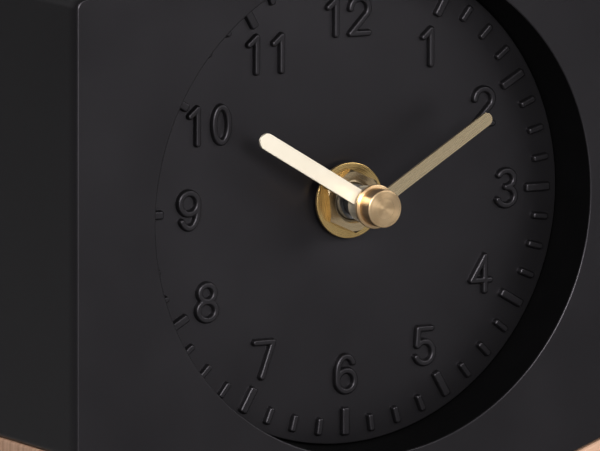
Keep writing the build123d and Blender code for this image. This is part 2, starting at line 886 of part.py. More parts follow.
core_depth = stator_depth + stator_thickness / 2
coil_left = stator_left + stator_leg_width + coil_margin
coil_right = coil_left + coil_length
with BuildPart() as coil_bobbin:
    disc(sideways(coil_left, core_depth, coil_axis_height), core_radius, coil_length)
    for flange_start in (coil_left, coil_right - bobbin_flange_thickness):
        disc(
            sideways(flange_start, core_depth, coil_axis_height),
            flange_radius,
            bobbin_flange_thickness,
        )
    with BuildSketch(sideways(coil_left, core_depth, coil_axis_height)):
        Rectangle(stator_thickness + 2 * bobbin_clearance, stator_leg_width + 2 * bobbin_clearance)
    extrude(amount=coil_length, mode=Mode.SUBTRACT)
finish(coil_bobbin, "coil_bobbin")

winding_left = coil_left + bobbin_flange_thickness
winding_length = coil_length - 2 * bobbin_flange_thickness
with BuildPart() as coil_winding:
    winding_plane = sideways(winding_left, core_depth, coil_axis_height)
    disc(winding_plane, core_radius + coil_thickness, winding_length)
    bore(winding_plane, core_radius, winding_length)
finish(coil_winding, "coil_winding")

# Circuit board under the back plate, with its chip and the quartz crystal
board_back = movement_body_depth - board_gap
board_front = board_back - board_thickness
board_left = board_margin - inner_half
board_top = inner_top - board_margin
board_bottom = board_top - board_height
board_middle = (board_left + board_width / 2, board_top - board_height / 2)
with BuildPart() as circuit_board:
    with BuildSketch(inside(board_back, board_middle)):
        Rectangle(board_width, board_height)
    extrude(amount=board_thickness)
finish(circuit_board, "circuit_board")

chip_place = (board_left + chip_inset, board_top - chip_inset)
with BuildPart() as driver_chip:
    disc(inside(board_front, chip_place), chip_radius, chip_height)
    chamfer(faces().sort_by(Axis.Y)[0].edges(), chip_height / 2)
finish(driver_chip, "driver_chip")

with BuildPart() as quartz_crystal:
    crystal_start = board_middle[0] - crystal_length / 2
    crystal_height = board_bottom + crystal_inset
    disc(
        sideways(crystal_start, board_front - crystal_radius, crystal_height),
        crystal_radius,
        crystal_length,
    )
finish(quartz_crystal, "quartz_crystal")

# Battery, lying across the foot of the movement between its two contacts
battery_depth = movement_wall + battery_gap + battery_radius
battery_tip = inner_half - contact_thickness
battery_end = battery_tip - battery_nub_length - battery_length
with BuildPart() as battery_cell:
    disc(sideways(battery_end, battery_depth, battery_height), battery_radius, battery_length)
    chamfer(edges().filter_by(GeomType.CIRCLE), battery_gap)
    disc(
        sideways(battery_end, battery_depth, battery_height),
        battery_nub_radius,
        battery_length + battery_nub_length,
    )
finish(battery_cell, "battery_cell")

with BuildPart() as positive_contact:
    with BuildSketch(sideways(battery_tip, battery_depth, battery_height)):
        Rectangle(contact_length, contact_width)
    extrude(amount=contact_thickness)
finish(positive_contact, "positive_contact")

spring_root = -inner_half + contact_thickness
with BuildPart() as negative_contact:
    with BuildSketch(sideways(-inner_half, battery_depth, battery_height)):
        Rectangle(contact_length, contact_width)
    extrude(amount=contact_thickness)
    with BuildSketch(Plane.XY.offset(stem_height + battery_height - contact_width / 4)):
        middle = dial_y - movement_front + battery_depth
        with BuildLine():
            Polyline(
                (spring_root, middle - contact_length / 2),
                (battery_end, middle),
                (spring_root, middle + contact_length / 2),
                (spring_root, middle + contact_length / 2 - 2 * contact_spring_thickness),
                (battery_end - contact_spring_thickness, middle),
                (spring_root, middle - contact_length / 2 + 2 * contact_spring_thickness),
                close=True,
            )
        make_face()
    extrude(amount=contact_width / 2)
finish(negative_contact, "negative_contact")

# Hour hand on the hour tube
hour_blade_back = hour_hand_front - hand_thickness
with BuildPart() as hour_hand:
    with BuildSketch(pointing(hour_blade_back, hour_hand_angle)):
        blade_length = hour_hand_length - hour_hand_width / 2
        with Locations((0, blade_length / 2)):
            Rectangle(hour_hand_width, blade_length)
        with Locations((0, blade_length)):
            Circle(hour_hand_width / 2)
    extrude(amount=hand_thickness)
    disc(on_stem(hour_hand_front - hour_collar_length), hour_collar_radius, hour_collar_length)
    bore(on_stem(hour_hand_front - hour_collar_length), hour_tube_radius, hour_collar_length)
finish(hour_hand, "hour_hand")

# Minute hand on the minute shaft
minute_blade_back = minute_hand_front - hand_thickness
with BuildPart() as minute_hand:
    with BuildSketch(pointing(minute_blade_back, minute_hand_angle)):
        blade_length = minute_hand_length - minute_hand_width / 2
        with Locations((0, blade_length / 2)):
            Rectangle(minute_hand_width, blade_length)
        with Locations((0, blade_length)):
            Circle(minute_hand_width / 2)
        Circle(minute_eye_radius)
        Circle(minute_shaft_radius, mode=Mode.SUBTRACT)
    extrude(amount=hand_thickness)
finish(minute_hand, "minute_hand")

# Turned cap that closes the end of the minute shaft
with BuildPart() as hand_cap:
    disc(on_stem(minute_hand_front), cap_radius, cap_front - minute_hand_front)
    chamfer(faces().sort_by(Axis.Y)[0].edges(), cap_edge)
    disc(on_stem(minute_hand_front), cap_flange_radius, cap_flange_thickness)
    bore(on_stem(minute_hand_front), minute_shaft_radius, cap_bore_depth)
finish(hand_cap, "hand_cap")
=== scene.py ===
import json
import math

import bmesh
import bpy
import numpy as np
from mathutils import Matrix, Vector


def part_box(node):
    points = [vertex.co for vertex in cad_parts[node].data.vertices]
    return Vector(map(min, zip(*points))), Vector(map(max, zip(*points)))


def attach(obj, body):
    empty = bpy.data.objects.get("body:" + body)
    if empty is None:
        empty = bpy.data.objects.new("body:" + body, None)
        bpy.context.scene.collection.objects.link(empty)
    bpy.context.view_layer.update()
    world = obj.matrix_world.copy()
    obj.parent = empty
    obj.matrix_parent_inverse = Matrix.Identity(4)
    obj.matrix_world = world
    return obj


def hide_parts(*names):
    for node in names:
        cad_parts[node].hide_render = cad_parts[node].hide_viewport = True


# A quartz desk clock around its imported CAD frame. Metres, +Z up, the face looks along -Y.
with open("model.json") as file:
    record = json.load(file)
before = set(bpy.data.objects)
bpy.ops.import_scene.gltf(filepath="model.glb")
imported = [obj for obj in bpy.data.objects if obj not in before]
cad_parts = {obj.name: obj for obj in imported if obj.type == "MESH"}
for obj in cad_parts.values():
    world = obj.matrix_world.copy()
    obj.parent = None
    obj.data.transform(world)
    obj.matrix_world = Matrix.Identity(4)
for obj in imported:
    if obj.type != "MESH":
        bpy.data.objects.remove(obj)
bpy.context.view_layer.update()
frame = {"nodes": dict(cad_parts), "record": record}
nodes = frame["nodes"]
MM = 0.001

# Sizes that the visible pieces share with the CAD part. An edge is the width that it takes from the face
# and the depth that it takes from the side.
CASE_SIDE = 38.2 * MM
CASE_APEX = 59.38 * MM
SEAM_CORNER = 1.3 * MM
UPPER_CORNER = 2.2 * MM
APEX_CORNER = 4.0 * MM
FRONT_EDGE = (0.7 * MM, 2.4 * MM)
REAR_EDGE = (1.2 * MM, 1.2 * MM)
RIM_RADIUS = 42.1 * MM
RIM_EDGE = (0.25 * MM, 0.25 * MM)
RECESS_DEPTH = 10.5 * MM
RECESS_DRAFT = 0.35 * MM
POCKET_CLEARANCE = 3.0 * MM
POCKET_CORNER = 1.5 * MM
POCKET_FLOOR = -6.0 * MM
STEM_RISE = 0.3 * MM
STEM_HOLE = 3.3 * MM
DIAL_THICKNESS = 2.0 * MM
DIAL_EDGE = 0.2 * MM
BOSS_RADIUS = 5.9 * MM
BOSS_HEIGHT = 1.2 * MM
RELIEF = 0.9 * MM
RELIEF_CELL = 0.09 * MM
FOOT_SPREAD = 0.12 * MM
FOOT_DEPTH = 0.09 * MM
TICKS_PER_HOUR = 4
TICK_MARGIN = 1.5 * MM
HOUR_TICK = (4.8 * MM, 1.45 * MM)
SHORT_TICK = (3.0 * MM, 1.1 * MM)
TICK_CORNER = 0.4 * MM
TICK_SHOULDER = 0.4 * MM
NUMERAL_GAP = 4.6 * MM
DIGIT_HEIGHT = 7.0 * MM
DIGIT_WIDTH = 4.5 * MM
DIGIT_STROKE = 1.05 * MM
DIGIT_PITCH = 4.8 * MM
DIGIT_REACH = (2.52 * MM, 3.5 * MM)
DIGIT_SHOULDER = 0.42 * MM
WASHER_RADIUS = 6.45 * MM
WASHER_THICKNESS = 0.6 * MM
WASHER_EDGE = 0.14 * MM
HAND_THICKNESS = 0.5 * MM
BLADE_EDGE = 0.03 * MM
HOUR_FRONT = 9.2 * MM
HOUR_LENGTH = 24.9 * MM
HOUR_WIDTH = 2.8 * MM
HOUR_ANGLE = math.radians(301.0)
HOUR_TUBE = 2.3 * MM
HOUR_ROOT = 2.5 * MM
COLLAR_RADIUS = 3.1 * MM
COLLAR_LENGTH = 2.8 * MM
COLLAR_STEP = 0.04 * MM
COLLAR_EDGE = 0.18 * MM
MINUTE_FRONT = 10.0 * MM
MINUTE_LENGTH = 26.7 * MM
MINUTE_WIDTH = 2.25 * MM
MINUTE_ANGLE = math.radians(58.6)
MINUTE_EYE = 3.3 * MM
MINUTE_SHAFT = 1.6 * MM
MINUTE_ROOT = 2.0 * MM
EYE_STEP = 0.03 * MM
EYE_EDGE = 0.06 * MM
CAP_FRONT = 13.6 * MM
CAP_RADIUS = 3.2 * MM
CAP_EDGE = 0.2 * MM
CAP_BORE = 1.6 * MM
FLANGE_RADIUS = 3.75 * MM
FLANGE_THICKNESS = 0.6 * MM

# The hour hand is brushed at a slant, the minute hand along its blade
HOUR_GRAIN = math.radians(42.5)
MINUTE_GRAIN = MINUTE_ANGLE

# Points round the large circles of case and dial, and the degrees up to which the hands shade smooth
LARGE_CIRCLE = 288
BLADE_SMOOTHING = 18

# The camera stands to the left of the clock and a little above the dial
CAMERA_FROM_DIAL = Vector((-0.8317, -1.4496, 0.2340))
AIM_FROM_DIAL = Vector((-0.00867, 0, -0.00362))
CAMERA_ROLL = math.radians(0.19)
LENS = 600

# Soft boxes about the dial: azimuth from the front towards the right and elevation, in degrees, then the
# box's width and height in metres and its power in watts
LIGHT_DISTANCE = 1.6
SOFT_BOXES = {
    "front_box": (-12, 14, (0.45, 0.4), 16),
    "right_box": (40, 22, (1.0, 0.5), 6.3),
    "left_box": (-42, 22, (0.5, 0.5), 11),
    "left_fill": (-140, 20, (1.0, 1.0), 0.6),
    "back_fill": (165, 40, (1.0, 1.0), 2.5),
}
ROOM_LIGHT = 0.10
ROOM_REFLECTION = 0.14
FLOOR_LIFT = 0.6

dial_low, dial_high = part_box("dial_plate")
case_low, case_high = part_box("case_body")
dial_radius = (dial_high.x - dial_low.x) / 2
dial_centre = Vector((0, dial_low.y + BOSS_HEIGHT, (dial_low.z + dial_high.z) / 2))
stem_centre = dial_centre + Vector((0, 0, STEM_RISE))

# How far each hour's figures stand off their ring, to the right and upward, in millimetres
NUMERAL_SHIFTS = {
    1: (0.9, -1.2),
    2: (0.4, -0.8),
    3: (0.8, 0.2),
    4: (0.1, 1.1),
    5: (0.1, 0.7),
    6: (0.1, 1.1),
    7: (-0.5, 0.6),
    8: (-0.3, -0.1),
    9: (0.3, 0.4),
    10: (0.0, -0.8),
    11: (0.1, -0.6),
    12: (0.1, 0.8),
}

# Digits as strokes, in shares of a digit's half width and half height. An oval has a centre and two
# radii, an arc has a start and a sweep in degrees as well, and a line is a row of points.
DIGIT_OVALS = {
    "0": [((0, 0), 0.82, 1.0)],
    "6": [((0, -0.4), 1.0, 0.6)],
    "8": [((0, 0.53), 0.82, 0.47), ((0, -0.47), 1.0, 0.53)],
    "9": [((0, 0.4), 1.0, 0.6)],
}
DIGIT_ARCS = {
    "2": [((0, 0.42), 1.0, 0.58, 180, -215)],
    "3": [((0, 0.53), 0.9, 0.47, 150, -240), ((0, -0.47), 1.0, 0.53, 90, -250)],
    "5": [((0, -0.38), 1.0, 0.62, 140, -295)],
    "6": [((0, 0), 1.0, 1.0, 40, 140)],
    "9": [((0, 0), 1.0, 1.0, 220, 140)],
}
DIGIT_LINES = {
    "1": [((-0.7, 0.58), (0.15, 1), (0.15, -1))],
    "2": [((0.82, 0.09), (-1, -1), (1, -1))],
    "4": [((0.4, -1), (0.4, 1), (-1.1, -0.38), (1, -0.38))],
    "5": [((0.8, 1), (-0.68, 1), (-0.8, 0.05))],
    "6": [((-1, 0), (-1, -0.4))],
    "7": [((-1, 1), (1, 1), (-0.25, -1))],
    "9": [((1, 0), (1, 0.4))],
}


# Materials


class Surface:
    """A node material with a Principled shader, and short ways to add textures to it."""

    def __init__(self, name, colour, roughness, metallic=0.0):
        self.material = bpy.data.materials.new(name)
        self.material.use_nodes = True
        self.tree = self.material.node_tree
        self.shader = self.tree.nodes["Principled BSDF"]
        self.shader.inputs["Base Color"].default_value = (*colour, 1)
        self.shader.inputs["Roughness"].default_value = roughness
        self.shader.inputs["Metallic"].default_value = metallic
        self.coordinates = self.add("ShaderNodeTexCoord").outputs["Object"]
        self.normal = None

    def add(self, kind, **settings):
        node = self.tree.nodes.new(kind)
        for key, value in settings.items():
            setattr(node, key, value)
        return node

    def link(self, source, target):
        self.tree.links.new(source, target)

    def mapped(self, stretch=(1, 1, 1), turn=(0, 0, 0), shift=(0, 0, 0)):
        """Object coordinates, shifted, turned and stretched."""
        moved = self.add("ShaderNodeVectorMath", operation="SUBTRACT")
        self.link(self.coordinates, moved.inputs[0])
        moved.inputs[1].default_value = shift
        turned = self.add("ShaderNodeMapping")
        turned.inputs["Rotation"].default_value = turn
        self.link(moved.outputs[0], turned.inputs["Vector"])
        stretched = self.add("ShaderNodeVectorMath", operation="MULTIPLY")
        self.link(turned.outputs[0], stretched.inputs[0])
        stretched.inputs[1].default_value = stretch
        return stretched.outputs[0]

    def noise(self, scale, vector=None, detail=3.0, roughness=0.5):
        texture = self.add("ShaderNodeTexNoise")
        texture.inputs["Scale"].default_value = scale
        texture.inputs["Detail"].default_value = detail
        texture.inputs["Roughness"].default_value = roughness
        self.link(vector or self.coordinates, texture.inputs["Vector"])
        return texture.outputs["Fac"]

    def ramp(self, value, low, high, start, end):
        """Map a value from the range low to high onto the range start to end."""
        node = self.add("ShaderNodeMapRange")
        node.inputs["From Min"].default_value = low
        node.inputs["From Max"].default_value = high
        node.inputs["To Min"].default_value = start
        node.inputs["To Max"].default_value = end
        self.link(value, node.inputs["Value"])
        return node.outputs["Result"]

    def math(self, operation, first, second=None):
        node = self.add("ShaderNodeMath", operation=operation)
        for socket, value in zip(node.inputs, (first, second)):
            if isinstance(value, (int, float)):
                socket.default_value = value
            elif value is not None:
                self.link(value, socket)
        return node.outputs[0]

    def blend(self, factor, first, second):
        """Mix two colours, each a colour or a node's output."""
        node = self.add("ShaderNodeMix", data_type="RGBA")
        self.link(factor, node.inputs["Factor"])
        for socket, value in ((node.inputs[6], first), (node.inputs[7], second)):
            if isinstance(value, tuple):
                socket.default_value = (*value, 1)
            else:
                self.link(value, socket)
        return node.outputs[2]

    def colour(self, output):
        self.link(output, self.shader.inputs["Base Color"])

    def roughness(self, output):
        self.link(output, self.shader.inputs["Roughness"])

    def bump(self, height, depth, strength=1.0):
        """Raise the surface by a texture, over the bumps that it has already."""
        node = self.add("ShaderNodeBump")
        node.inputs["Distance"].default_value = depth
        node.inputs["Strength"].default_value = strength
        self.link(height, node.inputs["Height"])
        if self.normal is not None:
            self.link(self.normal, node.inputs["Normal"])
        self.normal = node.outputs["Normal"]
        self.link(self.normal, self.shader.inputs["Normal"])


def tinted(colour, red, green=None, blue=None):
    """A colour with its channels multiplied, all by one share or each by its own."""
    shares = (red, red if green is None else green, red if blue is None else blue)
    return tuple(min(channel * share, 1) for channel, share in zip(colour, shares))


def satin_black(name, colour, roughness):
    """Satin lacquer: a deep black with a fine skin and faint cloudy wear."""
    surface = Surface(name, colour, roughness)
    cloud = surface.noise(55, detail=4)
    wear = surface.ramp(cloud, 0.3, 0.7, 0, 1)
    surface.colour(surface.blend(wear, tinted(colour, 0.8), tinted(colour, 1.25)))
    surface.roughness(surface.ramp(cloud, 0.25, 0.75, roughness - 0.03, roughness + 0.03))
    surface.bump(surface.noise(2600, detail=2), 0.008 * MM, 0.3)
    surface.shader.inputs["Specular IOR Level"].default_value = 0.5
    surface.shader.inputs["Specular Tint"].default_value = (1.0, 0.93, 1.03, 1)
    return surface.material


def natural_wood():
    """Pale wood whose growth layers and fibres stand upright on the ends and run along the width."""
    surface = Surface("natural_wood", (0.6, 0.42, 0.28), 0.5)
    drift = surface.noise(11, surface.mapped((1, 4, 1.5)), detail=2)
    split = surface.add("ShaderNodeSeparateXYZ")
    surface.link(surface.mapped(shift=(0, -0.16, 0.03)), split.inputs[0])
    across = surface.math("MULTIPLY", split.outputs["Y"], split.outputs["Y"])
    upward = surface.math("MULTIPLY", split.outputs["Z"], split.outputs["Z"])
    distance = surface.math("SQRT", surface.math("ADD", across, upward))
    wavy = surface.math("ADD", distance, surface.math("MULTIPLY", drift, 0.014))
    ring = surface.math("FRACT", surface.math("MULTIPLY", wavy, 330))
    band = surface.math("POWER", ring, 1.8)
    layers = surface.noise(1, surface.mapped((14, 900, 40)), detail=3, roughness=0.6)
    fibre = surface.noise(1, surface.mapped((60, 3000, 240)), detail=4, roughness=0.65)
    fleck = surface.noise(1, surface.mapped((130, 5200, 900)), detail=2)
    pale = surface.blend(surface.ramp(layers, 0.36, 0.64, 0, 1), (0.51, 0.285, 0.185), (0.745, 0.475, 0.33))
    ringed = surface.blend(surface.math("MULTIPLY", band, 0.3), pale, (0.47, 0.27, 0.165))
    grained = surface.blend(surface.ramp(fibre, 0.45, 0.75, 0, 0.5), ringed, (0.50, 0.30, 0.19))
    pores = surface.ramp(fleck, 0.62, 0.74, 0, 0.4)
    surface.colour(surface.blend(pores, grained, (0.36, 0.20, 0.12)))
    surface.roughness(surface.ramp(fibre, 0.3, 0.7, 0.42, 0.6))
    surface.bump(fibre, 0.03 * MM, 0.5)
    surface.bump(surface.ramp(fleck, 0.58, 0.76, 1, 0), 0.05 * MM, 0.4)
    return surface.material


def brushed_brass(name, colour, roughness, spread, grain_angle):
    """Brass brushed along a clock angle, which spreads its highlights across the grain."""
    surface = Surface(name, colour, roughness, 1.0)
    along_x = (0, math.pi / 2 - grain_angle, 0)
    lengthwise = surface.mapped((60, 9000, 9000), along_x, stem_centre)
    grain = surface.noise(1, lengthwise, detail=3, roughness=0.6)
    tarnish = surface.noise(260, detail=3)
    dulled = surface.ramp(tarnish, 0.35, 0.75, 0, 0.3)
    surface.colour(surface.blend(dulled, colour, tinted(colour, 0.88, 0.85, 0.78)))
    surface.roughness(surface.ramp(grain, 0.3, 0.7, roughness - 0.04, roughness + 0.04))
    surface.shader.inputs["Anisotropic"].default_value = spread
    tangent = surface.add("ShaderNodeTangent", direction_type="UV_MAP", uv_map="across")
    surface.link(tangent.outputs["Tangent"], surface.shader.inputs["Tangent"])
    surface.bump(grain, 0.004 * MM, 0.6)
    return surface.material


def turned_brass(name, colour, roughness, spread=0.0):
    """Brass from a lathe: fine rings about the stem that spread highlights outward, and faint tarnish."""
    surface = Surface(name, colour, roughness, 1.0)
    split = surface.add("ShaderNodeSeparateXYZ")
    surface.link(surface.mapped(shift=stem_centre), split.inputs[0])
    across = surface.math("MULTIPLY", split.outputs["X"], split.outputs["X"])
    upward = surface.math("MULTIPLY", split.outputs["Z"], split.outputs["Z"])
    radius = surface.math("SQRT", surface.math("ADD", across, upward))
    place = surface.add("ShaderNodeCombineXYZ")
    surface.link(radius, place.inputs["X"])
    surface.link(split.outputs["Y"], place.inputs["Y"])
    rings = surface.noise(7000, place.outputs[0], detail=2, roughness=0.7)
    tarnish = surface.noise(420, detail=3)
    dulled = surface.ramp(tarnish, 0.35, 0.75, 0, 0.6)
    surface.colour(surface.blend(dulled, colour, tinted(colour, 0.82, 0.76, 0.66)))
    surface.roughness(surface.ramp(rings, 0.3, 0.7, roughness - 0.07, roughness + 0.09))
    surface.bump(rings, 0.006 * MM, 0.6)
    surface.shader.inputs["Anisotropic"].default_value = spread
    surface.shader.inputs["Anisotropic Rotation"].default_value = 0.25
    tangent = surface.add("ShaderNodeTangent", direction_type="RADIAL", axis="Y")
    surface.link(tangent.outputs["Tangent"], surface.shader.inputs["Tangent"])
    return surface.material


def plain_metal(name, colour, roughness):
    """Rolled or turned metal with fine scratches and slight dulling."""
    surface = Surface(name, colour, roughness, 1.0)
    scratches = surface.noise(1, surface.mapped((300, 6000, 6000)), detail=3)
    dull = surface.ramp(surface.noise(300, detail=3), 0.35, 0.7, 0, 0.7)
    surface.colour(surface.blend(dull, colour, tinted(colour, 0.72)))
    surface.roughness(surface.ramp(scratches, 0.3, 0.7, roughness - 0.1, roughness + 0.1))
    surface.bump(scratches, 0.005 * MM, 0.5)
    return surface.material


def moulded(name, colour, roughness, grain=1500, depth=0.02):
    """Moulded plastic, rubber or resin with a fine grain and faint cloudiness."""
    surface = Surface(name, colour, roughness)
    cloud = surface.ramp(surface.noise(120, detail=3), 0.3, 0.7, 0, 1)
    surface.colour(surface.blend(cloud, tinted(colour, 0.85), tinted(colour, 1.15)))
    skin = surface.noise(grain, detail=2)
    surface.roughness(surface.ramp(skin, 0.3, 0.7, roughness - 0.06, roughness + 0.06))
    surface.bump(skin, depth * MM, 0.6)
    return surface.material


def wound_copper():
    """Fine enamelled wire, wound side by side along X, with painted shade darkening the grooves between the
    turns.
    """
    surface = Surface("copper_wire", (0.62, 0.26, 0.12), 0.35, 1.0)
    wave = surface.add("ShaderNodeTexWave", bands_direction="X")
    wave.inputs["Scale"].default_value = 1100
    wave.inputs["Distortion"].default_value = 0.6
    surface.link(surface.coordinates, wave.inputs["Vector"])
    # Darker copper where the wave is low, in the grooves between turns, is painted shade.
    surface.colour(surface.blend(wave.outputs["Fac"], (0.34, 0.12, 0.05), (0.70, 0.31, 0.15)))
    surface.bump(wave.outputs["Fac"], 0.05 * MM, 0.8)
    return surface.material


def battery_sleeve():
    """A plain sleeve: dark blue with a pale band towards one end, and bare metal at both tips."""
    surface = Surface("battery_sleeve", (0.10, 0.16, 0.30), 0.3)
    low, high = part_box("battery_cell")
    split = surface.add("ShaderNodeSeparateXYZ")
    surface.link(surface.coordinates, split.inputs[0])
    share = surface.ramp(split.outputs["X"], low.x, high.x, 0, 1)
    band = surface.math("GREATER_THAN", share, 0.72)
    from_middle = surface.math("ABSOLUTE", surface.math("SUBTRACT", share, 0.486))
    bare = surface.math("GREATER_THAN", from_middle, 0.475)
    painted = surface.blend(band, (0.06, 0.11, 0.24), (0.62, 0.60, 0.54))
    scuffs = surface.noise(700, detail=4)
    worn = surface.blend(surface.ramp(scuffs, 0.6, 0.8, 0, 0.4), painted, (0.30, 0.31, 0.33))
    surface.colour(surface.blend(bare, worn, (0.55, 0.55, 0.56)))
    surface.link(bare, surface.shader.inputs["Metallic"])
    surface.roughness(surface.ramp(scuffs, 0.3, 0.7, 0.24, 0.42))
    surface.bump(scuffs, 0.01 * MM, 0.4)
    return surface.material


MATERIALS = {
    "black_lacquer": satin_black("black_lacquer", (0.0036, 0.0034, 0.0037), 0.37),
    "dial_black": satin_black("dial_black", (0.0036, 0.0034, 0.0037), 0.38),
    "natural_wood": natural_wood(),
    "rubber": moulded("rubber", (0.028, 0.028, 0.028), 0.8, 2200, 0.03),
    "steel": plain_metal("steel", (0.42, 0.42, 0.43), 0.35),
    "brass": turned_brass("brass", (0.86, 0.60, 0.25), 0.24),
    "movement_plastic": moulded("movement_plastic", (0.022, 0.022, 0.024), 0.45),
    "wheel_plastic": moulded("wheel_plastic", (0.72, 0.71, 0.67), 0.45),
    "bobbin_plastic": moulded("bobbin_plastic", (0.20, 0.20, 0.21), 0.5),
    "copper_wire": wound_copper(),
    "magnet": plain_metal("magnet", (0.22, 0.22, 0.23), 0.5),
    "board": moulded("board", (0.25, 0.17, 0.08), 0.55, 900, 0.03),
    "chip_resin": moulded("chip_resin", (0.018, 0.018, 0.018), 0.35),
    "battery_sleeve": battery_sleeve(),
    "knob_plastic": moulded("knob_plastic", (0.048, 0.048, 0.052), 0.48),
}
# The recess wall and floor are the case's own lacquer, drawn darker and duller here as painted shade in the
# recess.
recess_painted_shade = moulded("recess_painted_shade", (0.0022, 0.0021, 0.0023), 0.7)
recess_painted_shade.node_tree.nodes["Principled BSDF"].inputs["Specular IOR Level"].default_value = 0.06
# The hour hand is the same brass as the minute hand; its paler, whiter colour is a painted highlight.
hour_brass_painted_highlight = brushed_brass("hour_brass_painted_highlight", (0.86, 0.785, 0.655), 0.5, 0.9, HOUR_GRAIN)
minute_brass = brushed_brass("minute_brass", (0.84, 0.67, 0.43), 0.27, 0.4, MINUTE_GRAIN)
cap_brass = turned_brass("cap_brass", (0.89, 0.635, 0.375), 0.33, 0.6)
nut_brass = turned_brass("nut_brass", (0.80, 0.62, 0.38), 0.21)

for subpart in frame["record"]["subparts"]:
    slots = nodes[subpart["node"]].data.materials
    slots.clear()
    slots.append(MATERIALS[subpart["material_slot"]])
nodes["hex_nut"].data.materials[0] = nut_brass


# Building blocks for meshes


def add_piece(name, mesh, body, slot, material, *replaced):
    """Put a mesh in the scene on a body, in place of the CAD nodes that it stands for."""
    mesh.materials.append(material)
    piece = bpy.data.objects.new(name, mesh)
    bpy.context.scene.collection.objects.link(piece)
    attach(piece, body)
    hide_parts(*replaced)


def on_dial(x, z, ahead):
    """A place measured from the dial's centre and forward from its surface."""
    return dial_centre + Vector((x, -ahead, z))


def bridge(bm, first, second):
    """Join two closed rows of the same number of points by a band of faces."""
    faces = []
    for step in range(len(first)):
        following = (step + 1) % len(first)
        faces.append(bm.faces.new((first[step], first[following], second[following], second[step])))
    return faces


def bridge_all(bm, rows):
    """Join each closed row of points to the next."""
    return [face for first, second in zip(rows, rows[1:]) for face in bridge(bm, first, second)]


def fill_between(bm, *loops):
    """Close the flat area between an outer row of points and the row inside it."""
    edges = []
    for loop in loops:
        for first, second in zip(loop, loop[1:] + loop[:1]):
            edges.append(bm.edges.get((first, second)) or bm.edges.new((first, second)))
    bmesh.ops.triangle_fill(bm, use_beauty=True, edges=edges)


def circle(bm, radius, ahead, centre, segments):
    """A closed row of points about an axis through the centre."""
    row = []
    for step in range(segments):
        turn = 2 * math.pi * step / segments
        spot = Vector((radius * math.sin(turn), -ahead, radius * math.cos(turn)))
        row.append(bm.verts.new(centre + spot))
    return row


def lathe(bm, profile, centre, segments=160):
    """Turn a ring from (radius, ahead) points, or a solid if they start and end on the axis."""
    middle = []
    rows = []
    for radius, ahead in profile:
        if radius == 0:
            middle.append(bm.verts.new(centre + Vector((0, -ahead, 0))))
        else:
            rows.append(circle(bm, radius, ahead, centre, segments))
    bridge_all(bm, rows)
    if not middle:
        bridge(bm, rows[-1], rows[0])
    for tip, row in zip(middle, (rows[0], rows[-1])):
        for first, second in zip(row, row[1:] + row[:1]):
            bm.faces.new((tip, first, second))


def eased(points, radius, steps=4):
    """A row of points with its corners rounded off, apart from points on the axis."""
    smooth = []
    for index, point in enumerate(points):
        if point[0] == 0:
            smooth.append(point)
            continue
        here = Vector(point)
        before = (Vector(points[index - 1]) - here).normalized() * radius
        after = (Vector(points[(index + 1) % len(points)]) - here).normalized() * radius
        for step in range(steps + 1):
            share = step / steps
            smooth.append(tuple(here + before * (1 - share) ** 2 + after * share ** 2))
    return smooth


def rounded_polygon(corners, inset, arc_steps=10):
    """Points round a polygon with rounded corners, moved inward by an inset. Corners are (x, z, radius)."""
    points = []
    places = [Vector(corner[:2]) for corner in corners]
    for index, place in enumerate(places):
        radius = corners[index][2]
        incoming = (place - places[index - 1]).normalized()
        outgoing = (places[(index + 1) % len(places)] - place).normalized()
        first = Vector((incoming.y, -incoming.x))
        second = Vector((outgoing.y, -outgoing.x))
        centre = place - (first + second) * (radius / (1 + first.dot(second)))
        start = math.atan2(first.y, first.x)
        sweep = incoming.angle(outgoing)
        for step in range(arc_steps + 1):
            angle = start + sweep * step / arc_steps
            points.append(centre + Vector((math.cos(angle), math.sin(angle))) * (radius - inset))
    return points


def edge_steps(size, steps=10):
    """Pairs of inset and drop along a softened edge, from the face to the side."""
    width, depth = size
    turns = [math.pi / 2 * step / steps for step in range(steps + 1)]
    return [(width * (1 - math.sin(turn)), depth * (1 - math.cos(turn))) for turn in turns]


def finish_mesh(bm, name, smooth_angle=40):
    """Turn the mesh's faces outward and shade it smooth up to the given angle."""
    bmesh.ops.remove_doubles(bm, verts=bm.verts, dist=1e-7)
    bmesh.ops.recalc_face_normals(bm, faces=bm.faces)
    mesh = bpy.data.meshes.new(name)
    bm.to_mesh(mesh)
    bm.free()
    mesh.shade_smooth()
    mesh.set_sharp_from_angle(angle=math.radians(smooth_angle))
    return mesh


# Case


